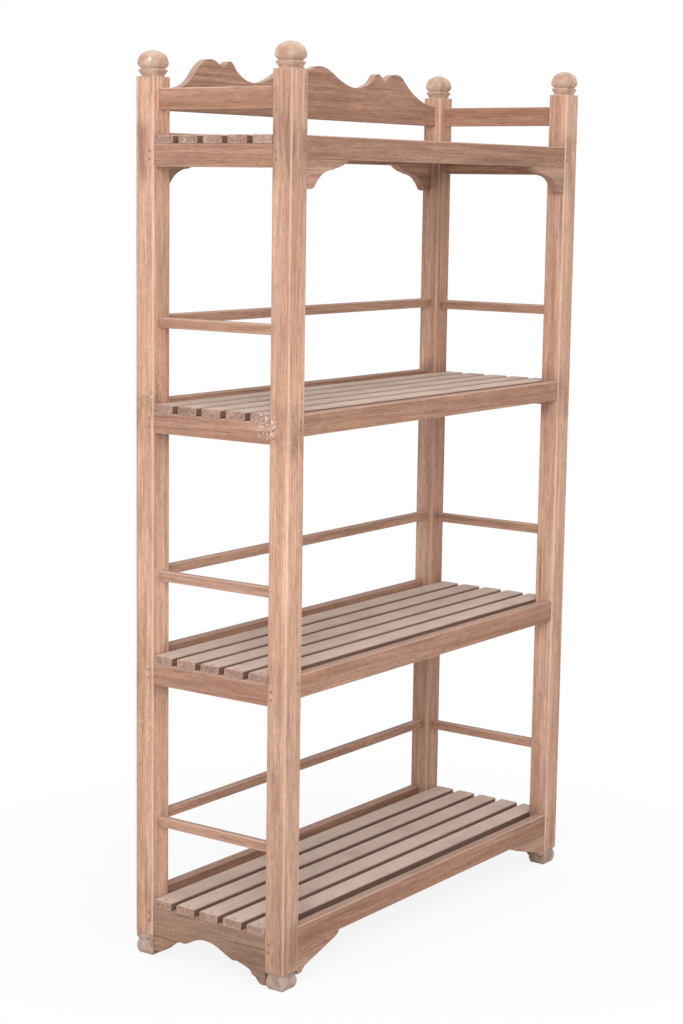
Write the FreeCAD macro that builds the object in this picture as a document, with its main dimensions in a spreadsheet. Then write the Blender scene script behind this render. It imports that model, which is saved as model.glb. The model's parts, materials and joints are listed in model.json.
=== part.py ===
# Tiered shelf of bleached teak: four square posts with carved finials and feet,
# four slatted tiers on mortised rails, guard rails on the back and the two ends,
# a carved crest board at the back and carved corner brackets.
#
# Frame: X runs along the width, Y from the open front to the back, Z up.
# The origin is the middle of the footprint, on the floor. Lengths are millimetres.

import FreeCAD, Part
import math
import os
import Sketcher

V = FreeCAD.Vector

# Driving sizes. Each row is a name, a plain number and what it means.
SIZES = [
    # the whole frame
    ("overall_width", 1074, "over the posts, along X"),
    ("overall_depth", 384, "over the posts, along Y"),
    ("overall_height", 1850, "floor to the top of the tallest post, front left"),
    ("joint_clearance", 0.3, "gap on each side of a tenon, peg or nail in its hole"),
    ("cut_overrun", 5, "how far the waste outlines run past the wood"),
    # posts
    ("post_width", 51.5, "post along X"),
    ("post_depth", 46, "post along Y"),
    ("post_arris", 2.5, "bevel on the long corners of a post"),
    ("front_right_drop", 5, "how much shorter this post was cut than the tallest"),
    ("back_left_drop", 9, "the same, back left"),
    ("back_right_drop", 8.5, "the same, back right"),
    # finial, carved on the post, measured down from its top
    ("finial_neck_height", 3, "straight neck above the shoulder"),
    ("finial_collar_height", 9.5, "flared collar"),
    ("finial_throat_height", 3.5, "from the collar's lip in to the bun"),
    ("finial_bun_height", 35.5, "cushion shaped bun on top"),
    ("finial_bun_rise_share", 0.41, "where the bun is widest, from its foot"),
    ("finial_neck_share", 0.66, "width of the neck against the post"),
    ("finial_collar_share", 0.86, "width of the collar's lip against the post"),
    ("finial_bun_share", 0.87, "width of the bun against the post"),
    ("finial_side_bow_share", 0.8, "radius of the bun's side against its chord"),
    ("finial_dome_bow_share", 0.77, "radius of the bun's dome against its chord"),
    # foot, carved on the post, measured up from the floor
    ("foot_height", 46, "floor to the square part of the post"),
    ("foot_slope_height", 3, "short slope under the square part"),
    ("foot_ring_height", 13, "rounded ring under the slope"),
    ("foot_ring_share", 0.9, "width at the top of the ring against the post"),
    ("foot_neck_share", 0.77, "width between ring and bun against the post"),
    ("foot_base_share", 0.74, "width of the sole against the post"),
    ("front_foot_height", 37, "floor to the square part of a front post, whose foot has no ring"),
    ("front_foot_slope_height", 8, "slope of a front foot, down to its bun"),
    ("foot_ring_bow_share", 0.85, "radius of the ring against its chord"),
    ("foot_bun_bow_share", 1.0, "radius of the lowest bun against its chord"),
    # tiers, each set by its slats' upper faces
    ("tier_one_top", 124, "floor to the lowest tier"),
    ("tier_four_drop", 173, "tops of the finials down to the top tier"),
    ("tier_two_share", 0.331, "second tier's place between the lowest and the top one"),
    ("tier_three_share", 0.66, "third tier's place between the lowest and the top one"),
    # rails that carry the tiers
    ("shelf_rail_height", 44.5, "side rail, upright, and a back rail below its slats' tops"),
    ("tier_three_side_rail_height", 41, "the side rails of tier three, cut less deep"),
    ("tier_one_front_rail_height", 46.5, "front rail of the lowest tier, upright"),
    ("tier_two_front_rail_height", 47, "the same, tier two"),
    ("tier_three_front_rail_height", 43, "the same, tier three"),
    ("tier_four_front_rail_height", 44.5, "the same, tier four"),
    ("back_rail_rise", 6, "how far a back rail stands above the slats"),
    ("shelf_rail_thickness", 22, "all the rails of a tier"),
    ("shelf_rail_inset", 2, "rail face behind the post face"),
    ("shelf_rail_arris", 1.6, "bevel on the long corners of a rail"),
    ("shelf_tenon_length", 22, "tenon of a shelf rail into its post"),
    ("shelf_tenon_thickness", 12, "tenon of a shelf rail"),
    ("shelf_tenon_shoulder", 5, "wood above and below the tenon"),
    # slats
    ("slat_gap", 14.75, "open gap between one slat and the next"),
    ("slat_thickness", 17, "upright"),
    ("slat_arris", 2, "bevel on the long corners of a slat"),
    ("slat_post_gap", 1.5, "outer slat to the post beside it"),
    # guard rails
    ("end_guard_lift", 150.5, "slat tops to the underside of a guard rail at the ends"),
    ("back_guard_lift", 154.5, "slat tops to the underside of a guard rail at the back"),
    ("guard_height", 21, "guard rail, upright"),
    ("guard_thickness", 15, "guard rail, through the post's line"),
    ("guard_arris", 2.4, "bevel on the long corners of a guard rail"),
    ("guard_tenon_length", 12, "tenon of a guard rail, a top rail or the crest"),
    ("guard_tenon_thickness", 8, "tenon of a guard rail, a top rail or the crest"),
    ("guard_tenon_shoulder", 3, "wood above and below a guard rail's tenon"),
    # top rails and crest
    ("top_rail_lift", 48.5, "top tier to the underside of the top side rails and the crest"),
    ("top_rail_height", 42, "top side rail, upright"),
    ("top_rail_thickness", 16, "top side rail"),
    ("top_rail_arris", 2, "bevel on the long corners of a top side rail"),
    ("top_tenon_shoulder", 7, "wood above and below the tenon of a top rail"),
    ("crest_thickness", 16, "crest board"),
    ("crest_rise", 113.5, "underside of the crest to its highest humps"),
    # carved brackets and end boards
    ("bracket_thickness", 20, "all corner brackets"),
    ("top_bracket_reach", 136.5, "along the rail, from the post"),
    ("top_bracket_drop", 56, "down the post, from the rail"),
    ("low_bracket_reach", 141, "along the rail, from the post"),
    ("low_bracket_drop", 52.5, "down the post, from the rail"),
    ("end_board_floor_gap", 6, "floor to the lowest tips of the carved end boards"),
    # pegs through the shelf tenons
    ("peg_diameter", 5, "wooden peg"),
    ("peg_length", 26, "wooden peg, from the post's outer face"),
    ("peg_edge", 10, "peg line to the post's inner face"),
    ("peg_spacing", 16, "between the two pegs of a joint"),
    # nails that hold the slats
    ("nail_length", 34, "over the head"),
    ("nail_shank_diameter", 2.4, "nail shank"),
    ("nail_head_diameter", 5.2, "nail head"),
    ("nail_head_thickness", 1.2, "nail head, let in flush with the slat"),
]

# Carved outlines, as shares. Each list holds curves that meet in corners.
# A point's first number is a share of the length, its second of the height.

# crest, from its left end (-1) to its right end (1), against its full rise
CREST_SHARES = [
    [(-1.0, 0.385), (-0.95, 0.39), (-0.893, 0.43), (-0.855, 0.5), (-0.817, 0.638),
     (-0.778, 0.818), (-0.74, 0.918), (-0.701, 0.944), (-0.661, 0.9), (-0.639, 0.845),
     (-0.621, 0.77)],
    [(-0.621, 0.77), (-0.602, 0.89), (-0.579, 0.935), (-0.557, 0.895), (-0.541, 0.815),
     (-0.519, 0.737), (-0.48, 0.645), (-0.439, 0.597), (-0.404, 0.586), (-0.356, 0.61),
     (-0.293, 0.698), (-0.244, 0.8), (-0.204, 0.9), (-0.159, 0.972), (-0.111, 1.0),
     (-0.064, 0.958), (-0.025, 0.905), (0.013, 0.958), (0.059, 1.0), (0.099, 0.985),
     (0.145, 0.92), (0.191, 0.822), (0.237, 0.737), (0.284, 0.675), (0.343, 0.64),
     (0.396, 0.668), (0.449, 0.745), (0.476, 0.82), (0.498, 0.92), (0.519, 0.945),
     (0.543, 0.9), (0.57, 0.77)],
    [(0.57, 0.77), (0.594, 0.88), (0.631, 0.948), (0.667, 0.965), (0.706, 0.93),
     (0.744, 0.812), (0.795, 0.652), (0.847, 0.538), (0.899, 0.455), (0.951, 0.405),
     (1.0, 0.39)],
]

# underside of an end board, from the front post (-1) to the back post (1), against its height
END_BOARD_SHARES = [
    [(-1.0, 0.0), (-0.945, 0.004), (-0.89, 0.038), (-0.845, 0.115), (-0.815, 0.14)],
    [(-0.815, 0.14), (-0.775, 0.158)],
    [(-0.775, 0.158), (-0.755, 0.215), (-0.72, 0.26)],
    [(-0.72, 0.26), (-0.61, 0.31), (-0.505, 0.352)],
    [(-0.505, 0.352), (-0.452, 0.336)],
    [(-0.452, 0.336), (-0.4, 0.355), (-0.35, 0.388), (-0.24, 0.462), (-0.13, 0.535),
     (-0.03, 0.568), (0.08, 0.577), (0.19, 0.548), (0.3, 0.473), (0.36, 0.43), (0.41, 0.404),
     (0.46, 0.396)],
    [(0.46, 0.396), (0.515, 0.394), (0.57, 0.366), (0.68, 0.272), (0.78, 0.158),
     (0.845, 0.094), (0.89, 0.076)],
    [(0.89, 0.076), (1.0, 0.079)],
]

# bracket under the top tier, from its tip (1) to the post (0), against its drop
TOP_BRACKET_SHARES = [
    [(1.0, 0.0), (0.90, 0.140), (0.78, 0.235), (0.66, 0.300)],
    [(0.66, 0.300), (0.63, 0.335)],
    [(0.63, 0.335), (0.50, 0.375), (0.40, 0.455), (0.31, 0.590), (0.235, 0.760), (0.165, 0.965)],
    [(0.165, 0.965), (0.09, 1.0), (0.0, 1.0)],
]

# bracket under the lowest tier, from its tip (1) to the post (0), against its drop
LOW_BRACKET_SHARES = [
    [(1.0, 0.0), (0.985, 0.085)],
    [(0.985, 0.085), (0.936, 0.155), (0.837, 0.243), (0.638, 0.406), (0.447, 0.556),
     (0.255, 0.71), (0.163, 0.79)],
    [(0.163, 0.79), (0.125, 0.89), (0.085, 0.985)],
    [(0.085, 0.985), (0.0, 1.0)],
]

TIERS = ["one", "two", "three", "four"]
SLATS = ["one", "two", "three", "four", "five"]
ENDS = [("left", -1), ("right", 1)]
FACES = [("front", -1), ("back", 1)]

doc = FreeCAD.newDocument("TieredShelf")
sheet = doc.addObject("Spreadsheet::Sheet", "Sizes")
for row, (alias, number, note) in enumerate(SIZES, start=1):
    sheet.set("A%d" % row, alias)
    sheet.set("B%d" % row, str(number))
    sheet.setAlias("B%d" % row, alias)
    sheet.set("C%d" % row, note)
doc.recompute()


class Size:
    """A length that knows both its value and the sheet formula behind it."""

    def __init__(self, value, formula):
        self.value = float(value)
        self.formula = formula

    def join(self, sign, other):
        other = as_size(other)
        value = {
            "+": self.value + other.value,
            "-": self.value - other.value,
            "*": self.value * other.value,
            "/": self.value / other.value if other.value else 0.0,
        }[sign]
        return Size(value, "(%s %s %s)" % (self.formula, sign, other.formula))

    def __add__(self, other):
        return self.join("+", other)

    def __sub__(self, other):
        return self.join("-", other)

    def __mul__(self, other):
        return self.join("*", other)

    def __truediv__(self, other):
        return self.join("/", other)

    def __neg__(self):
        return Size(-self.value, "(-%s)" % self.formula)


def as_size(thing):
    if isinstance(thing, Size):
        return thing
    return Size(thing, repr(thing))


def size(name):
    return Size(sheet.get(name), "Sizes." + name)


def toward(side, length):
    """The length, turned to the side that the sign points to."""
    return length if side > 0 else -length


# Sizes that several pieces share.
half_width = size("overall_width") / 2
half_depth = size("overall_depth") / 2
half_post_x = size("post_width") / 2
half_post_y = size("post_depth") / 2
clearance = size("joint_clearance")
post_line_x = half_width - half_post_x
post_line_y = half_depth - half_post_y
span_x = size("overall_width") - size("post_width") * 2
span_y = size("overall_depth") - size("post_depth") * 2
shelf_line_x = half_width - size("shelf_rail_inset") - size("shelf_rail_thickness") / 2
shelf_line_y = half_depth - size("shelf_rail_inset") - size("shelf_rail_thickness") / 2
bracket_line_y = half_depth - size("shelf_rail_inset") - size("bracket_thickness") / 2
back_rail_height = size("shelf_rail_height") + size("back_rail_rise")
peg_radius = size("peg_diameter") / 2
peg_hole_radius = peg_radius + clearance / 2
nail_hole_radius = size("nail_shank_diameter") / 2 + clearance / 2
nail_head_hole_radius = size("nail_head_diameter") / 2 + clearance / 2
nail_bite = size("nail_length") - size("slat_thickness")
slat_length = size("overall_width") - size("shelf_rail_inset") * 2
slat_run = span_y - size("slat_post_gap") * 2
slat_width = (slat_run - size("slat_gap") * (len(SLATS) - 1)) / len(SLATS)
slat_pitch = slat_width + size("slat_gap")


def tier_top(tier):
    low = size("tier_one_top")
    high = size("overall_height") - size("tier_four_drop")
    if tier == "one":
        return low
    if tier == "four":
        return high
    return low + (high - low) * size("tier_%s_share" % tier)


def top_rail_base():
    return tier_top("four") + size("top_rail_lift")


def front_rail_height(tier):
    return size("tier_%s_front_rail_height" % tier)


def side_rail_height(tier):
    if tier == "three":
        return size("tier_three_side_rail_height")
    return size("shelf_rail_height")


def front_rail_middle(tier):
    return tier_top(tier) - front_rail_height(tier) / 2


def back_rail_middle(tier):
    return tier_top(tier) - size("shelf_rail_height") + back_rail_height / 2


def side_rail_middle(tier):
    return tier_top(tier) - size("slat_thickness") - side_rail_height(tier) / 2


def guard_middle(tier, where):
    return tier_top(tier) + size("%s_guard_lift" % where) + size("guard_height") / 2


def slat_line(number):
    return (slat_run - slat_width) / 2 - slat_pitch * number


# Drawing helpers. Every coordinate is bound to its formula.


def new_body(name):
    return doc.addObject("PartDesign::Body", name)


def place(thing, x, y, z):
    for axis, length in (("x", x), ("y", y), ("z", z)):
        thing.setExpression("Placement.Base." + axis, as_size(length).formula)


def new_sketch(body, name, role, offset=None):
    sketch = body.newObject("Sketcher::SketchObject", name)
    plane = next(item for item in body.Origin.OriginFeatures if item.Role == role)
    sketch.AttachmentSupport = (plane, [""])
    sketch.MapMode = "FlatFace"
    if offset is not None:
        sketch.setExpression("AttachmentOffset.Base.z", offset.formula)
    return sketch


def bind(sketch, kind, element, point, length):
    """Holds one coordinate of a point to its formula."""
    if isinstance(length, Size):
        fixed = sketch.addConstraint(Sketcher.Constraint(kind, -1, 1, element, point, length.value))
        sketch.setExpression("Constraints[%d]" % fixed, length.formula)
    else:
        axis = -2 if kind == "DistanceX" else -1
        sketch.addConstraint(Sketcher.Constraint("PointOnObject", element, point, axis))


def as_vector(point):
    return V(as_size(point[0]).value, as_size(point[1]).value, 0)


def add_outline(sketch, points):
    """Draws a closed outline.

    Each point is (x, y), or (x, y, bow, side) where the line to the next point is an arc:
    bow is its radius against its chord, and side is 1 where it bulges to the right of the way
    the outline runs, or -1 to the left.
    """
    runs = []
    for here, after in zip(points, points[1:] + points[:1]):
        start = as_vector(here)
        end = as_vector(after)
        if len(here) == 2:
            runs.append((sketch.addGeometry(Part.LineSegment(start, end), False), 1, 2))
            continue
        bow = here[2]
        chord = end - start
        radius = chord.Length * bow.value
        sag = radius - math.sqrt(radius * radius - chord.Length * chord.Length / 4)
        middle = (start + end) / 2 + V(chord.y, -chord.x, 0).normalize() * sag * here[3]
        if here[3] > 0:
            runs.append((sketch.addGeometry(Part.Arc(start, middle, end), False), 1, 2))
        else:
            runs.append((sketch.addGeometry(Part.Arc(end, middle, start), False), 2, 1))
    for run, after in zip(runs, runs[1:] + runs[:1]):
        sketch.addConstraint(Sketcher.Constraint("Coincident", run[0], run[2], after[0], after[1]))
    for run, point in zip(runs, points):
        bind(sketch, "DistanceX", run[0], run[1], point[0])
        bind(sketch, "DistanceY", run[0], run[1], point[1])
    for run, here, after in zip(runs, points, points[1:] + points[:1]):
        if len(here) == 4:
            across = as_size(after[0]) - here[0]
            along = as_size(after[1]) - here[1]
            chord = "sqrt(%s ^ 2 + %s ^ 2)" % (across.formula, along.formula)
            arc = sketch.Geometry[run[0]]
            fixed = sketch.addConstraint(Sketcher.Constraint("Radius", run[0], arc.Radius))
            sketch.setExpression("Constraints[%d]" % fixed, "%s * %s" % (here[2].formula, chord))


def add_box(sketch, middle_x, middle_y, width, height):
    left = middle_x - width / 2
    right = middle_x + width / 2
    low = middle_y - height / 2
    high = middle_y + height / 2
    add_outline(sketch, [(left, low), (right, low), (right, high), (left, high)])


def add_bevelled_box(sketch, width, height, arris):
    x = width / 2
    y = height / 2
    add_outline(sketch, [
        (-x + arris, -y), (x - arris, -y), (x, -y + arris), (x, y - arris),
        (x - arris, y), (-x + arris, y), (-x, y - arris), (-x, -y + arris),
    ])


def add_hole(sketch, x, y, radius):
    centre = as_vector((x, y))
    element = sketch.addGeometry(Part.Circle(centre, V(0, 0, 1), radius.value), False)
    bind(sketch, "DistanceX", element, 3, x)
    bind(sketch, "DistanceY", element, 3, y)
    fixed = sketch.addConstraint(Sketcher.Constraint("Radius", element, radius.value))
    sketch.setExpression("Constraints[%d]" % fixed, radius.formula)


def pad(body, sketch, name, length, both_ways=True):
    feature = body.newObject("PartDesign::Pad", name)
    feature.Profile = sketch
    feature.Midplane = both_ways
    feature.setExpression("Length", length.formula)
    return feature


def pocket(body, sketch, name, depth=None, reverse=False):
    """Cuts the outline to a depth, or right through on both sides without one."""
    feature = body.newObject("PartDesign::Pocket", name)
    feature.Profile = sketch
    if depth is None:
        feature.Type = "ThroughAll"
        feature.Midplane = True
    else:
        feature.setExpression("Length", depth.formula)
        feature.Reversed = reverse
    return feature


# Posts. Each stands in its own frame, on its own axis.


def finial_waste(sketch, half, top):
    """The wood that is carved away round a finial, seen square on."""
    over = size("cut_overrun")
    neck = half * size("finial_neck_share")
    lip = half * size("finial_collar_share")
    bun = half * size("finial_bun_share")
    side_bow = size("finial_side_bow_share")
    dome_bow = size("finial_dome_bow_share")
    bun_low = top - size("finial_bun_height")
    bun_wide = bun_low + size("finial_bun_height") * size("finial_bun_rise_share")
    lip_height = bun_low - size("finial_throat_height")
    neck_top = lip_height - size("finial_collar_height")
    shoulder = neck_top - size("finial_neck_height")
    add_outline(sketch, [
        (-half - over, shoulder), (-neck, shoulder), (-neck, neck_top), (-lip, lip_height),
        (-neck, bun_low, side_bow, -1), (-bun, bun_wide, dome_bow, -1),
        (0, top, dome_bow, -1), (bun, bun_wide, side_bow, -1),
        (neck, bun_low), (lip, lip_height), (neck, neck_top), (neck, shoulder),
        (half + over, shoulder), (half + over, top + over), (-half - over, top + over),
    ])


def foot_waste(sketch, half, face):
    """The wood that is carved away round a foot, seen square on."""
    over = size("cut_overrun")
    neck = half * size("foot_neck_share")
    sole = half * size("foot_base_share")
    bun_bow = size("foot_bun_bow_share")
    if face < 0:
        top = size("front_foot_height")
        bun_top = top - size("front_foot_slope_height")
        right = [(neck, bun_top, bun_bow, -1), (sole, 0)]
        left = [(-neck, bun_top, bun_bow, 1), (-sole, 0)]
    else:
        ring = half * size("foot_ring_share")
        ring_bow = size("foot_ring_bow_share")
        top = size("foot_height")
        ring_top = top - size("foot_slope_height")
        bun_top = ring_top - size("foot_ring_height")
        right = [(ring, ring_top, ring_bow, -1), (neck, bun_top, bun_bow, -1), (sole, 0)]
        left = [(-ring, ring_top, ring_bow, 1), (-neck, bun_top, bun_bow, 1), (-sole, 0)]
    add_outline(sketch, [(half + over, 0), (half + over, top), (half, top)] + right)
    add_outline(sketch, [(-half - over, 0), (-half - over, top), (-half, top)] + left)


def make_post(name, end, face):
    """One post: end is -1 on the left, face is -1 at the front."""
    corner = name.replace("_post", "")
    top = size("overall_height")
    if corner != "front_left":
        top = top - size(corner + "_drop")
    body = new_body(name)
    section = new_sketch(body, name + "_section", "XY_Plane")
    add_bevelled_box(section, size("post_width"), size("post_depth"), size("post_arris"))
    pad(body, section, name + "_length", top, both_ways=False)

    for role, half in (("XZ_Plane", half_post_x), ("YZ_Plane", half_post_y)):
        finial = new_sketch(body, name + "_finial_" + role[:2], role)
        finial_waste(finial, half, top)
        pocket(body, finial, name + "_finial_cut_" + role[:2])
        foot = new_sketch(body, name + "_foot_" + role[:2], role)
        foot_waste(foot, half, face)
        pocket(body, foot, name + "_foot_cut_" + role[:2])

    rail_middle = front_rail_middle if face < 0 else back_rail_middle
    shoulders = size("shelf_tenon_shoulder") * 2
    wide = size("shelf_tenon_thickness") + clearance * 2
    narrow = size("guard_tenon_thickness") + clearance * 2
    deep = size("shelf_tenon_length") + clearance
    shallow = size("guard_tenon_length") + clearance
    guard_slot = size("guard_height") - size("guard_tenon_shoulder") * 2 + clearance * 2
    top_slot = size("top_rail_height") - size("top_tenon_shoulder") * 2 + clearance * 2
    top_middle = top_rail_base() + size("top_rail_height") / 2

    # mortises for the rails that run along X, in the post's inner side
    inner_x = toward(-end, half_post_x)
    slots = new_sketch(body, name + "_x_mortises", "YZ_Plane", inner_x)
    line = toward(face, shelf_line_y - post_line_y)
    for tier in TIERS:
        rail_height = front_rail_height(tier) if face < 0 else back_rail_height
        add_box(slots, line, rail_middle(tier), wide, rail_height - shoulders + clearance * 2)
    pocket(body, slots, name + "_x_mortise_cut", deep, reverse=end > 0)
    if face > 0:
        slots = new_sketch(body, name + "_x_guard_mortises", "YZ_Plane", inner_x)
        for tier in TIERS[:3]:
            add_box(slots, half_post_y * 0, guard_middle(tier, "back"), narrow, guard_slot)
        add_box(slots, half_post_y * 0, top_middle, narrow, top_slot)
        pocket(body, slots, name + "_x_guard_mortise_cut", shallow, reverse=end > 0)

    # mortises for the rails that run along Y
    inner_y = toward(face, half_post_y)
    slots = new_sketch(body, name + "_y_mortises", "XZ_Plane", inner_y)
    line = toward(end, shelf_line_x - post_line_x)
    for tier in TIERS:
        side_slot = side_rail_height(tier) - shoulders + clearance * 2
        add_box(slots, line, side_rail_middle(tier), wide, side_slot)
    pocket(body, slots, name + "_y_mortise_cut", deep, reverse=face < 0)
    slots = new_sketch(body, name + "_y_guard_mortises", "XZ_Plane", inner_y)
    for tier in TIERS[:3]:
        add_box(slots, half_post_x * 0, guard_middle(tier, "end"), narrow, guard_slot)
    add_box(slots, half_post_x * 0, top_middle, narrow, top_slot)
    pocket(body, slots, name + "_y_guard_mortise_cut", shallow, reverse=face < 0)

    # peg holes, from the outer faces through the shelf tenons
    hole_depth = size("peg_length") + clearance
    holes = new_sketch(body, name + "_y_peg_holes", "XZ_Plane", toward(-face, half_post_y))
    for tier in TIERS:
        for side in (-1, 1):
            height = rail_middle(tier) + toward(side, size("peg_spacing") / 2)
            add_hole(holes, toward(-end, half_post_x - size("peg_edge")), height, peg_hole_radius)
    pocket(body, holes, name + "_y_peg_cut", hole_depth, reverse=face > 0)
    holes = new_sketch(body, name + "_x_peg_holes", "YZ_Plane", toward(end, half_post_x))
    for tier in TIERS:
        for side in (-1, 1):
            height = side_rail_middle(tier) + toward(side, size("peg_spacing") / 2)
            add_hole(holes, toward(-face, half_post_y - size("peg_edge")), height, peg_hole_radius)
    pocket(body, holes, name + "_x_peg_cut", hole_depth, reverse=end < 0)

    place(body, toward(end, post_line_x), toward(face, post_line_y), 0)
    return body


# Rails. Each lies in its own frame, its middle at the origin.


def make_rail(name, along, length, thickness, height, arris, tenon):
    """A straight rail along X or Y with a bevelled section and a tenon at each end."""
    tenon_length, tenon_thickness, tenon_shoulder = tenon
    role = "YZ_Plane" if along == "x" else "XZ_Plane"
    body = new_body(name)
    section = new_sketch(body, name + "_section", role)
    add_bevelled_box(section, thickness, height, arris)
    pad(body, section, name + "_length", length)
    tongue = new_sketch(body, name + "_tenon", role)
    add_box(tongue, thickness * 0, height * 0, tenon_thickness, height - tenon_shoulder * 2)
    pad(body, tongue, name + "_tenons", length + tenon_length * 2)
    return body


def peg_through(body, along, length):
    """The peg holes through both tenons of a shelf rail."""
    holes = new_sketch(body, body.Name + "_peg_holes", "XZ_Plane" if along == "x" else "YZ_Plane")
    for end in (-1, 1):
        for side in (-1, 1):
            where = toward(end, length / 2 + size("peg_edge"))
            add_hole(holes, where, toward(side, size("peg_spacing") / 2), peg_hole_radius)
    pocket(body, holes, body.Name + "_peg_cut")


shelf_tenon = (size("shelf_tenon_length"), size("shelf_tenon_thickness"), size("shelf_tenon_shoulder"))
guard_tenon = (size("guard_tenon_length"), size("guard_tenon_thickness"), size("guard_tenon_shoulder"))
top_tenon = (size("guard_tenon_length"), size("guard_tenon_thickness"), size("top_tenon_shoulder"))


def make_long_rail(name, face, tier):
    """The front or back rail of a tier."""
    height = front_rail_height(tier) if face < 0 else back_rail_height
    middle = front_rail_middle(tier) if face < 0 else back_rail_middle(tier)
    body = make_rail(name, "x", span_x, size("shelf_rail_thickness"), height,
                     size("shelf_rail_arris"), shelf_tenon)
    peg_through(body, "x", span_x)
    place(body, 0, toward(face, shelf_line_y), middle)
    return body


def make_side_rail(name, end, tier):
    """The rail at one end of a tier, on which the slats lie."""
    height = side_rail_height(tier)
    body = make_rail(name, "y", span_y, size("shelf_rail_thickness"), height,
                     size("shelf_rail_arris"), shelf_tenon)
    peg_through(body, "y", span_y)
    holes = new_sketch(body, name + "_nail_holes", "XY_Plane", height / 2)
    for number in range(len(SLATS)):
        add_hole(holes, height * 0, slat_line(number), nail_hole_radius)
    pocket(body, holes, name + "_nail_cut", nail_bite + clearance)
    place(body, toward(end, shelf_line_x), 0, side_rail_middle(tier))
    return body


def make_slat(name, number, tier):
    body = new_body(name)
    section = new_sketch(body, name + "_section", "YZ_Plane")
    add_bevelled_box(section, slat_width, size("slat_thickness"), size("slat_arris"))
    pad(body, section, name + "_length", slat_length)
    holes = new_sketch(body, name + "_nail_holes", "XY_Plane")
    heads = new_sketch(body, name + "_head_seats", "XY_Plane", size("slat_thickness") / 2)
    for end in (-1, 1):
        add_hole(holes, toward(end, shelf_line_x), slat_length * 0, nail_hole_radius)
        add_hole(heads, toward(end, shelf_line_x), slat_length * 0, nail_head_hole_radius)
    pocket(body, holes, name + "_nail_cut")
    pocket(body, heads, name + "_head_cut", size("nail_head_thickness"))
    place(body, 0, slat_line(number), tier_top(tier) - size("slat_thickness") / 2)
    return body


# Carved boards. Their curves run through points taken as shares of the board.


def carve(shares, width, height, mirror=1):
    """The edges through a list of curves, scaled and, for a left copy, turned over."""
    edges = []
    for curve in shares:
        points = [V(mirror * width * along, 0, height * up) for along, up in curve]
        if len(points) == 2:
            edges.append(Part.LineSegment(points[0], points[1]).toShape())
        else:
            spline = Part.BSplineCurve()
            spline.interpolate(points)
            edges.append(spline.toShape())
    return edges


def board(edges, thickness):
    """A flat board in the XZ plane, its thickness centred on it."""
    wire = Part.Wire(Part.__sortEdges__(edges))
    face = Part.Face(wire)
    face.translate(V(0, -thickness / 2, 0))
    return face.extrude(V(0, thickness, 0))


def straight(*points):
    return [Part.LineSegment(a, b).toShape() for a, b in zip(points, points[1:])]


def tongue_box(reach, thickness, low, high):
    return Part.makeBox(reach * 2, thickness, high - low, V(-reach, -thickness / 2, low))


def add_feature(name, shape, x, y, z, turn=0):
    feature = doc.addObject("Part::Feature", name)
    feature.Shape = shape
    feature.Placement = FreeCAD.Placement(V(x, y, z), FreeCAD.Rotation(V(0, 0, 1), turn))
    return feature


def make_crest(name):
    half = span_x.value / 2
    rise = size("crest_rise").value
    upper = carve(CREST_SHARES, half, rise)
    left = V(-half, 0, rise * CREST_SHARES[0][0][1])
    right = V(half, 0, rise * CREST_SHARES[-1][-1][1])
    under = straight(left, V(-half, 0, 0), V(half, 0, 0), right)
    shape = board(upper + under, size("crest_thickness").value)
    reach = half + size("guard_tenon_length").value
    low = size("top_tenon_shoulder").value
    high = size("top_rail_height").value - low
    shape = shape.fuse(tongue_box(reach, size("guard_tenon_thickness").value, low, high))
    return add_feature(name, shape.removeSplitter(), 0, post_line_y.value, top_rail_base().value)


def make_end_board(name, end):
    """The lowest side rail, cut with its carved apron from one board."""
    half = span_y.value / 2
    top = (side_rail_middle("one") + size("shelf_rail_height") / 2).value
    low = size("end_board_floor_gap").value
    height = top - low
    lower = carve(END_BOARD_SHARES, half, height)
    front = V(-half, 0, height * END_BOARD_SHARES[0][0][1])
    back = V(half, 0, height * END_BOARD_SHARES[-1][-1][1])
    upper = straight(front, V(-half, 0, height), V(half, 0, height), back)
    thickness = size("shelf_rail_thickness").value
    shape = board(lower + upper, thickness)
    middle = height - size("shelf_rail_height").value / 2
    grip = size("shelf_rail_height").value / 2 - size("shelf_tenon_shoulder").value
    tongue = tongue_box(half + size("shelf_tenon_length").value, size("shelf_tenon_thickness").value,
                        middle - grip, middle + grip)
    shape = shape.fuse(tongue).removeSplitter()
    cutters = []
    for side in (-1, 1):
        for step in (-1, 1):
            at = V(side * (half + size("peg_edge").value), -thickness,
                   middle + step * size("peg_spacing").value / 2)
            cutters.append(Part.makeCylinder(peg_hole_radius.value, thickness * 2, at, V(0, 1, 0)))
    depth = (nail_bite + clearance).value
    for number in range(len(SLATS)):
        at = V(slat_line(number).value, 0, height - depth)
        cutters.append(Part.makeCylinder(nail_hole_radius.value, depth, at, V(0, 0, 1)))
    shape = shape.cut(Part.makeCompound(cutters))
    return add_feature(name, shape, end * shelf_line_x.value, 0, low, 90)


def bracket_shape(shares, reach, drop, end):
    """A corner bracket, its inner corner where the post meets the rail's underside."""
    edges = carve(shares, reach.value, -drop.value, -end)
    edges += straight(V(0, 0, -drop.value), V(0, 0, 0), V(-end * reach.value, 0, 0))
    return board(edges, size("bracket_thickness").value)


def rail_underside(tier, face):
    height = front_rail_height(tier) if face < 0 else size("shelf_rail_height")
    return tier_top(tier) - height


def make_top_bracket(name, end, face):
    shape = bracket_shape(TOP_BRACKET_SHARES, size("top_bracket_reach"), size("top_bracket_drop"), end)
    return add_feature(name, shape, end * span_x.value / 2, face * bracket_line_y.value,
                       rail_underside("four", face).value)


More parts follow.
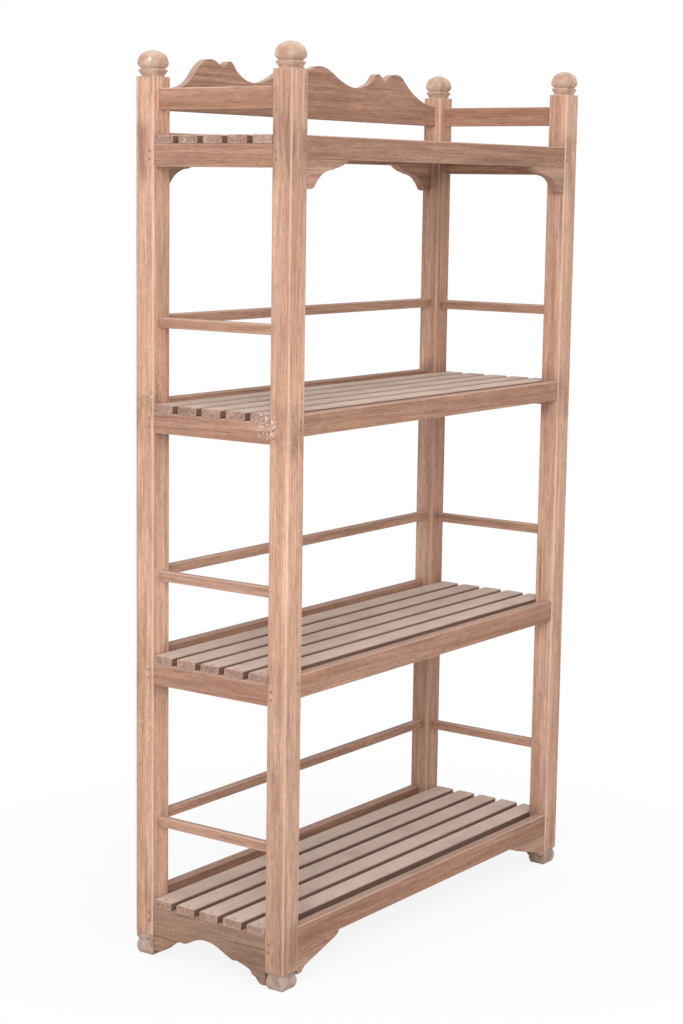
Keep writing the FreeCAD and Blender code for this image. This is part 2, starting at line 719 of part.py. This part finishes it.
def make_low_brackets(name, face):
    """The two corner brackets under the lowest front or back rail."""
    pair = []
    for _, end in ENDS:
        shape = bracket_shape(LOW_BRACKET_SHARES, size("low_bracket_reach"), size("low_bracket_drop"), end)
        shape.translate(V(end * span_x.value / 2, 0, 0))
        pair.append(shape)
    return add_feature(name, Part.makeCompound(pair), 0, face * bracket_line_y.value,
                       rail_underside("one", face).value)


def make_pegs(name):
    """The pegs of every shelf tenon, flush with the posts' outer faces."""
    radius = peg_radius.value
    length = size("peg_length").value
    across_x = (half_width - size("post_width") + size("peg_edge")).value
    across_y = (half_depth - size("post_depth") + size("peg_edge")).value
    pegs = []
    for tier in TIERS:
        for _, end in ENDS:
            for _, face in FACES:
                middle = front_rail_middle(tier) if face < 0 else back_rail_middle(tier)
                for side in (-1, 1):
                    step = side * size("peg_spacing").value / 2
                    height = middle.value + step
                    at = V(end * across_x, face * half_depth.value, height)
                    pegs.append(Part.makeCylinder(radius, length, at, V(0, -face, 0)))
                    height = side_rail_middle(tier).value + step
                    at = V(end * half_width.value, face * across_y, height)
                    pegs.append(Part.makeCylinder(radius, length, at, V(-end, 0, 0)))
    return add_feature(name, Part.makeCompound(pegs), 0, 0, 0)


def make_nails(name):
    """One nail through each slat end into the side rail below it."""
    length = size("nail_length").value
    head = size("nail_head_thickness").value
    nails = []
    for tier in TIERS:
        top = tier_top(tier).value
        for number in range(len(SLATS)):
            for _, end in ENDS:
                x = end * shelf_line_x.value
                y = slat_line(number).value
                shank = Part.makeCylinder(size("nail_shank_diameter").value / 2, length, V(x, y, top - length))
                cap = Part.makeCylinder(size("nail_head_diameter").value / 2, head, V(x, y, top - head))
                nails.append(shank.fuse(cap).removeSplitter())
    return add_feature(name, Part.makeCompound(nails), 0, 0, 0)


# The pieces, each under the name of its file.

pieces = []
for end_name, end in ENDS:
    for face_name, face in FACES:
        pieces.append(make_post("%s_%s_post" % (face_name, end_name), end, face))

for tier in TIERS:
    for face_name, face in FACES:
        pieces.append(make_long_rail("tier_%s_%s_rail" % (tier, face_name), face, tier))
    for end_name, end in ENDS:
        if tier == "one":
            pieces.append(make_end_board("tier_one_%s_end_board" % end_name, end))
        else:
            pieces.append(make_side_rail("tier_%s_%s_rail" % (tier, end_name), end, tier))
    for number, word in enumerate(SLATS):
        pieces.append(make_slat("tier_%s_slat_%s" % (tier, word), number, tier))

for tier in TIERS[:3]:
    guard = make_rail("tier_%s_back_guard" % tier, "x", span_x, size("guard_thickness"),
                      size("guard_height"), size("guard_arris"), guard_tenon)
    place(guard, 0, post_line_y, guard_middle(tier, "back"))
    pieces.append(guard)
    for end_name, end in ENDS:
        guard = make_rail("tier_%s_%s_guard" % (tier, end_name), "y", span_y, size("guard_thickness"),
                          size("guard_height"), size("guard_arris"), guard_tenon)
        place(guard, toward(end, post_line_x), 0, guard_middle(tier, "end"))
        pieces.append(guard)

for end_name, end in ENDS:
    rail = make_rail("top_%s_rail" % end_name, "y", span_y, size("top_rail_thickness"),
                     size("top_rail_height"), size("top_rail_arris"), top_tenon)
    place(rail, toward(end, post_line_x), 0, top_rail_base() + size("top_rail_height") / 2)
    pieces.append(rail)

pieces.append(make_crest("crest_board"))
for end_name, end in ENDS:
    for face_name, face in FACES:
        pieces.append(make_top_bracket("top_%s_%s_bracket" % (face_name, end_name), end, face))
for face_name, face in FACES:
    pieces.append(make_low_brackets("low_%s_brackets" % face_name, face))
pieces.append(make_pegs("tenon_pegs"))
pieces.append(make_nails("slat_nails"))

for piece in pieces:
    piece.Label = piece.Name
doc.recompute()

for item in doc.Objects:
    if "Invalid" in item.State or "Error" in item.State:
        raise RuntimeError("%s did not compute" % item.Name)
    if item.TypeId == "PartDesign::Pocket" and item.Shape.Volume >= item.BaseFeature.Shape.Volume:
        raise RuntimeError("%s cuts nothing" % item.Name)
for piece in pieces:
    if piece.Shape.isNull() or not piece.Shape.isValid():
        raise RuntimeError("%s has no valid shape" % piece.Name)

os.makedirs("parts", exist_ok=True)
for piece in pieces:
    piece.Shape.exportStep("parts/%s.step" % piece.Label)
print("%d pieces" % len(pieces))
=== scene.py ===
import json
import math

import bpy
from mathutils import Matrix, Vector

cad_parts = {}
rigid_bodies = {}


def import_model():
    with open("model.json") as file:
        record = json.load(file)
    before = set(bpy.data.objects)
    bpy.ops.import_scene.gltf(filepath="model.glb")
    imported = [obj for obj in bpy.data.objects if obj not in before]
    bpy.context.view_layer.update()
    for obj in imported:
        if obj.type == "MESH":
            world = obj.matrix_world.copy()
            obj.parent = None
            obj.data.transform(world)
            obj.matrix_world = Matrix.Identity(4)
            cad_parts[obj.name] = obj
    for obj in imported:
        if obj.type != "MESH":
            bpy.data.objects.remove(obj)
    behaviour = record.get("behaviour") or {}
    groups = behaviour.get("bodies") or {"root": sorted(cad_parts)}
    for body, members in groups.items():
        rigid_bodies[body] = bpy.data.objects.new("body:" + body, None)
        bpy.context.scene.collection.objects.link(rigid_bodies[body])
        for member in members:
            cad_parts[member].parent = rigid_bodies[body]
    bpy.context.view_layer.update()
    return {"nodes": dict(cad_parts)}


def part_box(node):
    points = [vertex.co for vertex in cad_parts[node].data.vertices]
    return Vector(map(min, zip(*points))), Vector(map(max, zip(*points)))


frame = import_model()
scene = bpy.context.scene


# Colours are written as the screen shows them and turned linear here.
def tone(red, green, blue):
    def linear(level):
        level /= 255
        return level / 12.92 if level <= 0.04045 else ((level + 0.055) / 1.055) ** 2.4
    return (linear(red), linear(green), linear(blue), 1)


class Graph:
    """Short calls that add and link shader nodes."""

    def __init__(self, tree):
        self.tree = tree

    def add(self, kind, **settings):
        node = self.tree.nodes.new(kind)
        for name, value in settings.items():
            setattr(node, name, value)
        return node

    def feed(self, socket, value):
        if isinstance(value, bpy.types.NodeSocket):
            self.tree.links.new(value, socket)
        elif value is not None:
            socket.default_value = value

    def math(self, operation, a, b=None, clamp=False):
        node = self.add("ShaderNodeMath", operation=operation, use_clamp=clamp)
        self.feed(node.inputs[0], a)
        self.feed(node.inputs[1], b)
        return node.outputs[0]

    def ramp(self, value, low, high, out_low=0.0, out_high=1.0):
        node = self.add("ShaderNodeMapRange", interpolation_type="SMOOTHSTEP")
        for index, item in enumerate((value, low, high, out_low, out_high)):
            self.feed(node.inputs[index], item)
        return node.outputs[0]

    def mix(self, share, a, b, blend="MIX"):
        node = self.add("ShaderNodeMix", data_type="RGBA", blend_type=blend, clamp_factor=True)
        self.feed(node.inputs[0], share)
        self.feed(node.inputs[6], a)
        self.feed(node.inputs[7], b)
        return node.outputs[2]

    def times(self, a, b):
        return self.math("MULTIPLY", a, b)

    def vary(self, value, noise, amount):
        """A lightness made larger and smaller by a noise."""
        return self.times(value, self.ramp(noise, 0.3, 0.7, 1 - amount, 1 + amount))

    def axes(self, vector):
        node = self.add("ShaderNodeSeparateXYZ")
        self.feed(node.inputs[0], vector)
        return node.outputs

    def distance(self, vector, point):
        node = self.add("ShaderNodeVectorMath", operation="DISTANCE")
        self.feed(node.inputs[0], vector)
        node.inputs[1].default_value = point
        return node.outputs["Value"]

    def stretch(self, vector, scale):
        node = self.add("ShaderNodeMapping")
        self.feed(node.inputs["Vector"], vector)
        node.inputs["Scale"].default_value = scale
        return node.outputs[0]

    def noise(self, vector, seed, scale=1.0, detail=4.0, roughness=0.55, distortion=0.0):
        node = self.add("ShaderNodeTexNoise", noise_dimensions="4D")
        self.feed(node.inputs["Vector"], vector)
        node.inputs["W"].default_value = seed
        node.inputs["Scale"].default_value = scale
        node.inputs["Detail"].default_value = detail
        node.inputs["Roughness"].default_value = roughness
        node.inputs["Distortion"].default_value = distortion
        return node.outputs["Fac"]


def new_material(name):
    """An empty material and the graph of its nodes."""
    material = bpy.data.materials.new(name)
    material.use_nodes = True
    g = Graph(material.node_tree)
    g.tree.nodes.clear()
    return material, g


def along(axis, length, across):
    """Scales for the three axes, with the grain's axis stretched."""
    return tuple(length if name == axis else across for name in "xyz")


def edge_distance(g, size):
    """How far a point lies from the nearest edge of the piece's box, in metres."""
    split = g.axes(g.add("ShaderNodeTexCoord").outputs["Generated"])
    far = []
    for index in range(3):
        here = split[index]
        near = g.math("MINIMUM", here, g.math("SUBTRACT", 1.0, here))
        far.append(g.times(near, size[index]))
    a, b, c = far
    low = g.math("MINIMUM", a, b)
    high = g.math("MAXIMUM", a, b)
    return g.math("MAXIMUM", low, g.math("MINIMUM", high, c))


# Noises of the wood: scale along the grain, scale across it, seed step, detail, roughness, distortion.
GRAIN_NOISES = {
    "broad": (1.5, 30, 0, 5, 0.6, 0),
    "streak": (5, 190, 3, 5, 0.65, 0.25),
    "fibre": (14, 700, 7, 3, 0.6, 0),
    "patch": (3.2, 9, 11, 3, 0.5, 0),
    "cloud": (9, 14, 17, 4, 0.6, 0),
    "pores": (26, 560, 23, 2, 0.5, 0),
    "stain": (4, 26, 43, 6, 0.7, 0.5),
    "crack": (9, 260, 47, 4, 0.6, 0),
    "lines": (6, 230, 53, 6, 0.75, 0),
    "blotch": (6, 24, 59, 4, 0.6, 0),
    "fleck": (55, 190, 61, 5, 0.7, 0),
}
BUMP_DEPTH = 0.0016
TURNED_BLEND = 0.004
# widths of the bands of grime and painted shade round the posts at the rail joints
JOINT_DARK_NEAR = 0.028
JOINT_DARK_FAR = 0.075


def growth_rings(g, place, axis, seed, look):
    """Wavy bands that run with the grain."""
    rings = g.add("ShaderNodeTexWave", wave_type="BANDS", bands_direction="DIAGONAL")
    g.feed(rings.inputs["Vector"], g.stretch(place, along(axis, 0.03, 1)))
    rings.inputs["Scale"].default_value = look["ring_scale"]
    rings.inputs["Distortion"].default_value = 7
    rings.inputs["Detail"].default_value = 2.5
    rings.inputs["Detail Scale"].default_value = 0.9
    rings.inputs["Phase Offset"].default_value = seed * 1.7
    return rings.outputs["Fac"]


def grain_colour(g, n, rings, look):
    """The wood's colour before light, wear and weather change it."""
    colour = g.mix(g.ramp(n["broad"], 0.36, 0.66), look["mid"], look["light"])
    colour = g.mix(g.times(g.ramp(n["patch"], 0.45, 0.68), look["gold"]), colour, look["golden"])
    colour = g.mix(g.ramp(rings, 0.3, 0.95, 0, look["rings"]), colour, look["dark"])
    lines = g.ramp(n["streak"], 0.5, 0.72, 0, look["streaks"])
    colour = g.mix(g.times(lines, g.ramp(n["cloud"], 0.3, 0.6, 0.35, 1)), colour, look["dark"])
    colour = g.mix(g.ramp(n["pores"], 0.6, 0.7, 0, look["pores"]), colour, look["pore"])
    colour = g.mix(g.ramp(n["stain"], 0.52, 0.74, 0, look["stains"]), colour, look["stain"])
    splits = g.times(g.ramp(n["crack"], 0.63, 0.68), g.ramp(n["stain"], 0.42, 0.6))
    return g.mix(g.times(splits, look["splits"]), colour, look["pore"])


def lightness(g, n, x, z, look):
    """How light the wood is: its fine grain, and slow changes over the piece; on the posts the change
    with height is partly the wood's tone and partly painted light.
    """
    value = g.ramp(n["fibre"], 0.25, 0.75, 1 - look["fibre"], 1 + look["fibre"])
    value = g.vary(value, n["lines"], look["grain"])
    value = g.vary(value, n["fleck"], look["fleck"])
    value = g.vary(value, n["blotch"], look["blotch"])
    value = g.times(value, look["tint"])
    if look["left"]:
        value = g.times(value, g.ramp(x, -0.4, 0.15, look["left"], 1))
    # partly painted light: a post's lightness changes with height, partly its own tone and partly the
    # light falling on it painted in
    if look["fade"]:
        low, middle, high = look["fade"]
        value = g.times(value, g.ramp(z, 0.15, 0.95, low, middle))
        value = g.times(value, g.ramp(z, 1.0, 1.6, 1, high / middle))
    shade = g.add("ShaderNodeCombineColor")
    for socket in shade.inputs[:3]:
        g.feed(socket, value)
    return shade.outputs[0]


def turned_ends(g, colour, z, lump, look):
    """Weathered end grain on a post's finial and foot, cloudy and greyer."""
    low_end, high_end = look["ends"]
    turned = g.math("MAXIMUM", g.ramp(z, low_end - TURNED_BLEND, low_end + TURNED_BLEND, 1, 0),
                    g.ramp(z, high_end - TURNED_BLEND, high_end + TURNED_BLEND))
    crown = g.mix(g.ramp(lump, 0.34, 0.66), look["end_dark"], look["end_light"])
    foot = g.mix(g.ramp(lump, 0.34, 0.66), look["foot_dark"], look["foot_light"])
    mottle = g.mix(g.ramp(z, 0.5, 0.6), foot, crown)
    return g.mix(g.times(turned, 0.8), colour, mottle)


def joint_grime_and_shade(g, colour, z, stain, look):
    """Grime and painted shade where the rails meet a post: bands round the post at each rail are
    darkened, broken up by a stain noise.
    """
    grime_and_shade = None
    for joint in look["joints"]:
        far = g.math("ABSOLUTE", g.math("SUBTRACT", z, joint))
        here = g.ramp(far, JOINT_DARK_NEAR, JOINT_DARK_FAR, 1, 0)
        grime_and_shade = here if grime_and_shade is None else g.math("MAXIMUM", grime_and_shade, here)
    grime_and_shade = g.times(grime_and_shade, g.ramp(stain, 0.4, 0.66, 0, 0.75))
    return g.mix(grime_and_shade, colour, look["stain"])


def spatter(g, colour, place, chips, look):
    """A cluster of pale chips round one point."""
    centre, radius = look["splash"]
    close = g.ramp(g.distance(place, centre), radius * 0.5, radius * 1.3, 0.9, 0)
    return g.mix(g.times(close, g.ramp(chips, 0.545, 0.6)), colour, look["lime"])


def filler_spot(g, colour, place, lump, look):
    """One spot of old filler, cracked in its middle."""
    centre, radius = look["mark"]
    ragged = g.math("ADD", g.distance(place, centre), g.times(lump, radius * 0.5))
    colour = g.mix(g.ramp(ragged, radius * 1.05, radius * 1.3, 0.85, 0), colour, look["lime"])
    return g.mix(g.ramp(ragged, radius * 0.5, radius * 0.68, 0.9, 0), colour, look["pore"])


def teak(name, axis, size, seed, look):
    """Bleached, weathered teak with its grain along one axis."""
    material, g = new_material(name)
    place = g.add("ShaderNodeTexCoord").outputs["Object"]
    n = {}
    for key, (length, across, step, detail, roughness, distortion) in GRAIN_NOISES.items():
        n[key] = g.noise(g.stretch(place, along(axis, length, across)), seed + step,
                         detail=detail, roughness=roughness, distortion=distortion)
    chips = g.noise(place, seed + 31, scale=210, detail=3, roughness=0.6)
    lump = g.noise(place, seed + 37, scale=48, detail=5, roughness=0.65)
    x, _, z = g.axes(place)

    rings = growth_rings(g, place, axis, seed, look)
    colour = grain_colour(g, n, rings, look)
    colour = g.mix(1.0, colour, lightness(g, n, x, z, look), "MULTIPLY")
    if look["ends"]:
        colour = turned_ends(g, colour, z, lump, look)
    # grime and painted shade in bands at the rail joints
    if look["joints"]:
        colour = joint_grime_and_shade(g, colour, z, n["stain"], look)

    # painted shade: faces that look along y, such as the sides between neighbouring slats, are darkened
    # where shade falls; upper faces bleach grey
    normal = g.axes(g.add("ShaderNodeNewGeometry").outputs["Normal"])
    if look["sides"]:
        side_shade_mask = g.ramp(g.math("ABSOLUTE", normal[1]), 0.35, 0.75, 0, look["sides"])
        colour = g.mix(side_shade_mask, colour, look["dark"])
    up = g.ramp(normal[2], 0.4, 0.9, 0, look["grey"])
    colour = g.mix(g.times(up, g.ramp(n["cloud"], 0.2, 0.6, 0.6, 1)), colour, look["ash"])

    # arrises are rubbed pale and carry a painted highlight, and the rubbing is uneven
    if look["rub_and_highlight"]:
        reach = edge_distance(g, size)
        rub_and_highlight = g.ramp(reach, look["arris"] * 0.55, look["arris"] * 1.25, look["rub_and_highlight"], 0)
        colour = g.mix(g.times(rub_and_highlight, g.ramp(n["cloud"], 0.25, 0.6, 0.3, 1)), colour, look["worn_and_highlight"])

    # small pale chips of old lime wash
    pale = g.times(g.ramp(chips, 0.6, 0.65), g.ramp(n["patch"], 0.5, 0.72, 0, look["chips"]))
    colour = g.mix(pale, colour, look["lime"])
    if look["splash"]:
        colour = spatter(g, colour, place, chips, look)
    if look["mark"]:
        colour = filler_spot(g, colour, place, lump, look)

    bump = g.add("ShaderNodeBump")
    soft = g.add("ShaderNodeBevel", samples=6)
    soft.inputs["Radius"].default_value = look["soft"]
    g.feed(bump.inputs["Normal"], soft.outputs[0])
    bump.inputs["Strength"].default_value = look["bump"]
    bump.inputs["Distance"].default_value = BUMP_DEPTH
    g.feed(bump.inputs["Height"], g.math("ADD", g.times(n["streak"], -0.6), g.times(n["lines"], 0.8)))

    shader = g.add("ShaderNodeBsdfPrincipled")
    g.feed(shader.inputs["Base Color"], colour)
    g.feed(shader.inputs["Roughness"], g.ramp(n["streak"], 0.3, 0.7, 0.72, 0.9))
    g.feed(shader.inputs["Normal"], bump.outputs[0])
    shader.inputs["Specular IOR Level"].default_value = 0.25
    g.feed(g.add("ShaderNodeOutputMaterial").inputs[0], shader.outputs[0])
    return material


# Colours, strengths from 0 to 1, and lengths in metres (arris, soft, ends, joints, mark, splash).
BASE = {
    "mid": tone(190, 146, 122), "light": tone(212, 171, 147), "dark": tone(146, 104, 84),
    "golden": tone(204, 160, 128), "pore": tone(104, 74, 62), "ash": tone(196, 178, 166),
    "stain": tone(140, 104, 88), "stains": 0.55, "splits": 0.7,
    # the pale colour of rubbed arrises below also carries a painted highlight
    "worn_and_highlight": tone(226, 190, 168), "lime": tone(232, 218, 208),
    "end_dark": tone(168, 132, 112), "end_light": tone(206, 178, 160), "ends": None,
    "foot_dark": tone(142, 122, 113), "foot_light": tone(192, 173, 163), "joints": (),
    "grain": 0.2, "fleck": 0.12, "blotch": 0.04, "sides": 0, "soft": 0.002,
    "fade": None, "left": None, "mark": None, "splash": None,
    "ring_scale": 30, "rings": 0.1, "streaks": 0.72, "pores": 0.5, "fibre": 0.13, "gold": 0.35,
    "grey": 0.5, "arris": 0.0032, "rub_and_highlight": 0.5, "chips": 0.35, "bump": 0.35,
}
LOOKS = {
    "post": dict(BASE, mid=tone(194, 151, 128), light=tone(218, 178, 155)),
    "rail": dict(BASE, mid=tone(160, 119, 98), light=tone(180, 140, 119), dark=tone(120, 80, 64),
                 golden=tone(168, 126, 97), rings=0.14, streaks=0.5, rub_and_highlight=0.35, arris=0.0022, grey=0.35),
    # the slats' side value below paints shade on their faces between neighbouring slats
    "slat": dict(BASE, mid=tone(154, 122, 108), light=tone(176, 144, 130), dark=tone(108, 82, 72),
                 golden=tone(168, 136, 116), ash=tone(222, 202, 188), grey=0.82, rub_and_highlight=0.2, rings=0.1,
                 arris=0.0026, chips=0.7, streaks=0.8, stain=tone(120, 92, 80), stains=0.75,
                 sides=0.75, grain=0.24, fleck=0.16),
    "guard": dict(BASE, mid=tone(168, 128, 108), light=tone(188, 149, 128), dark=tone(124, 88, 73),
                  rub_and_highlight=0.45, arris=0.003, rings=0.15),
    "carved": dict(BASE, mid=tone(160, 122, 103), light=tone(180, 142, 123), dark=tone(122, 86, 72),
                   rub_and_highlight=0.0, rings=0.12),
    "apron": dict(BASE, mid=tone(140, 110, 95), light=tone(160, 128, 111), dark=tone(108, 78, 66),
                  rub_and_highlight=0.0, rings=0.12),
}


def look_of(node):
    """The look of a node's kind of piece, and the axis of its grain."""
    if "post" in node:
        return "post", "z"
    if "slat_" in node and node != "slat_nails":
        return "slat", "x"
    if "guard" in node:
        return "guard", "x" if "back" in node else "y"
    if "bracket" in node or node == "crest_board":
        return "carved", "x"
    if "end_board" in node:
        return "apron", "y"
    return "rail", "x" if node.split("_")[-2] in ("front", "back") else "y"


def plain_small(name, base, dark, roughness, metallic=0.0):
    """Pegs and nails: a fine mottle between two tones."""
    material, g = new_material(name)
    place = g.add("ShaderNodeTexCoord").outputs["Object"]
    mottle = g.noise(place, 2.0, scale=900, detail=4)
    shader = g.add("ShaderNodeBsdfPrincipled")
    g.feed(shader.inputs["Base Color"], g.mix(g.ramp(mottle, 0.35, 0.65), base, dark))
    g.feed(shader.inputs["Roughness"], g.ramp(mottle, 0.3, 0.7, roughness, roughness + 0.15))
    shader.inputs["Metallic"].default_value = metallic
    g.feed(g.add("ShaderNodeOutputMaterial").inputs[0], shader.outputs[0])
    return material


def dress(node, material):
    obj = bpy.data.objects[node]
    if not obj.material_slots:
        obj.data.materials.append(material)
    for slot in obj.material_slots:
        slot.material = material


# how much lighter or darker single pieces are than their kind
TINTS = {
    "tier_four_front_rail": 0.85, "tier_one_front_rail": 0.92, "tier_four_left_rail": 0.92,
    "tier_one_left_end_board": 0.87, "tier_one_right_end_board": 0.9, "crest_board": 0.95,
    "top_right_rail": 0.95, "tier_one_slat_one": 0.97, "tier_one_slat_five": 0.93,
    "tier_two_slat_two": 1.05, "tier_three_slat_three": 1.05, "tier_three_slat_five": 1.04,
}
# the posts' lightness low down, half way and high up, partly the wood's own tone and partly painted
# light
POST_TONE_AND_LIGHT_BY_HEIGHT = {
    "front_left_post": (0.8, 1.0, 0.87), "back_left_post": (0.97, 1.01, 0.99),
    "back_right_post": (0.86, 0.86, 0.88), "front_right_post": (0.92, 0.97, 0.87),
}

# where the turned ends begin, from the sole up and from the top down
FRONT_FOOT = 0.035
BACK_FOOT = 0.044
FINIAL = 0.053
# centre and radius of the spatter on tier three, and of the filler on a finial
SPLASH = ((-0.535, -0.137, 1.127), 0.028)
FILLER = ((-0.531, 0.159, 1.822), 0.0055)
# how far below each rail's middle the band of grime and painted shade is centred
JOINT_DARK_DROP = 0.01

joints = []
for word in ("one", "two", "three", "four"):
    joint_low, joint_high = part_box("tier_%s_front_rail" % word)
    joints.append((joint_low[2] + joint_high[2]) / 2 - JOINT_DARK_DROP)
nodes = sorted(frame["nodes"])
for number, node in enumerate(nodes):
    if node == "tenon_pegs":
        dress(node, plain_small("peg_end_grain", tone(166, 124, 102), tone(136, 98, 80), 0.8))
        continue
    if node == "slat_nails":
        dress(node, plain_small("nail_heads", tone(150, 124, 110), tone(118, 94, 82), 0.6, 0.3))
        continue
    low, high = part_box(node)
    size = [high[i] - low[i] for i in range(3)]
    kind, axis = look_of(node)
    look = dict(LOOKS[kind], tint=TINTS.get(node, 1.0))
    if kind == "post":
        foot_top = BACK_FOOT if "back" in node else FRONT_FOOT
        look.update(ends=(foot_top, high[2] - FINIAL), fade=POST_TONE_AND_LIGHT_BY_HEIGHT[node], joints=joints, soft=0.003)
    if node in ("tier_three_left_rail", "tier_three_slat_five", "front_left_post"):
        look["splash"] = SPLASH
    if node == "crest_board":
        look["left"] = 0.88
    if node == "back_left_post":
        look.update(mark=FILLER, chips=0.7)
    dress(node, teak("teak_" + node, axis, size, number * 5.3 + 1, look))

# camera, at the photograph's angle
YAW = math.radians(54.413)
PITCH = math.radians(8.702)
ROLL = math.radians(0.8334)
CAMERA_PLACE = (-3.7263, -2.6009, 1.579)
FOCAL_PIXELS = 2115.5
PICTURE_HEIGHT = 1024
SENSOR = 36
forward = Vector((math.sin(YAW) * math.cos(PITCH), math.cos(YAW) * math.cos(PITCH), -math.sin(PITCH)))
level_right = Vector((math.cos(YAW), -math.sin(YAW), 0))
level_up = level_right.cross(forward)
right = math.cos(ROLL) * level_right + math.sin(ROLL) * level_up
up = math.cos(ROLL) * level_up - math.sin(ROLL) * level_right
turn = Matrix((right, up, -forward)).transposed().to_4x4()
camera_data = bpy.data.cameras.new("camera")
camera_data.sensor_width = SENSOR
camera_data.lens = FOCAL_PIXELS / PICTURE_HEIGHT * SENSOR
camera_data.clip_end = 60
camera = bpy.data.objects.new("camera", camera_data)
camera.matrix_world = Matrix.Translation(CAMERA_PLACE) @ turn
scene.collection.objects.link(camera)
scene.camera = camera


def lamp(name, place, target, energy, wide, high):
    data = bpy.data.lights.new(name, "AREA")
    data.shape = "RECTANGLE"
    data.size = wide
    data.size_y = high
    data.energy = energy
    obj = bpy.data.objects.new(name, data)
    obj.location = place
    obj.rotation_euler = (Vector(target) - Vector(place)).to_track_quat("-Z", "Y").to_euler()
    scene.collection.objects.link(obj)


lamp("key", (-4.2, -2.4, 3.0), (0, 0, 0.95), 150, 2.4, 2.4)
lamp("fill", (1.6, -4.2, 1.8), (0, 0, 0.9), 15, 2.4, 2.4)
lamp("top", (-0.4, -0.6, 4.2), (0, 0, 1.0), 40, 2.6, 1.6)

world = bpy.data.worlds.new("studio")
scene.world = world
world.use_nodes = True
g = Graph(world.node_tree)
g.tree.nodes.clear()
path = g.add("ShaderNodeLightPath")
seen = g.math("MAXIMUM", path.outputs["Is Camera Ray"],
              g.math("MAXIMUM", path.outputs["Is Glossy Ray"], path.outputs["Is Transmission Ray"]))
back = g.add("ShaderNodeBackground")
back.inputs["Color"].default_value = (1, 1, 1, 1)
g.feed(back.inputs["Strength"], g.ramp(seen, 0, 1, 0.62, 1.0))
g.feed(g.add("ShaderNodeOutputWorld").inputs[0], back.outputs[0])

# floor: white, with the object's soft shadow kept near it
FLOOR_REACH = 14
FLOOR_DROP = 0.0006
corners = [(-FLOOR_REACH, -FLOOR_REACH, 0), (FLOOR_REACH, -FLOOR_REACH, 0),
           (FLOOR_REACH, FLOOR_REACH, 0), (-FLOOR_REACH, FLOOR_REACH, 0)]
mesh = bpy.data.meshes.new("floor")
mesh.from_pydata(corners, [], [(0, 1, 2, 3)])
floor = bpy.data.objects.new("floor", mesh)
floor.location.z = -FLOOR_DROP
scene.collection.objects.link(floor)
paper, g = new_material("paper")
path = g.add("ShaderNodeLightPath")
seen = g.math("MAXIMUM", path.outputs["Is Camera Ray"], path.outputs["Is Glossy Ray"])
apart = g.add("ShaderNodeVectorMath", operation="LENGTH")
g.feed(apart.inputs[0], g.add("ShaderNodeTexCoord").outputs["Object"])
matte = g.add("ShaderNodeBsdfDiffuse")
matte.inputs["Color"].default_value = (0.88, 0.88, 0.88, 1)
glow = g.add("ShaderNodeEmission")
blend = g.add("ShaderNodeMixShader")
share = g.times(seen, g.ramp(apart.outputs["Value"], 0.4, 1.4, 0.87, 1.0))
g.feed(blend.inputs[0], share)
g.feed(blend.inputs[1], matte.outputs[0])
g.feed(blend.inputs[2], glow.outputs[0])
g.feed(g.add("ShaderNodeOutputMaterial").inputs[0], blend.outputs[0])
mesh.materials.append(paper)

scene.view_settings.view_transform = "Standard"
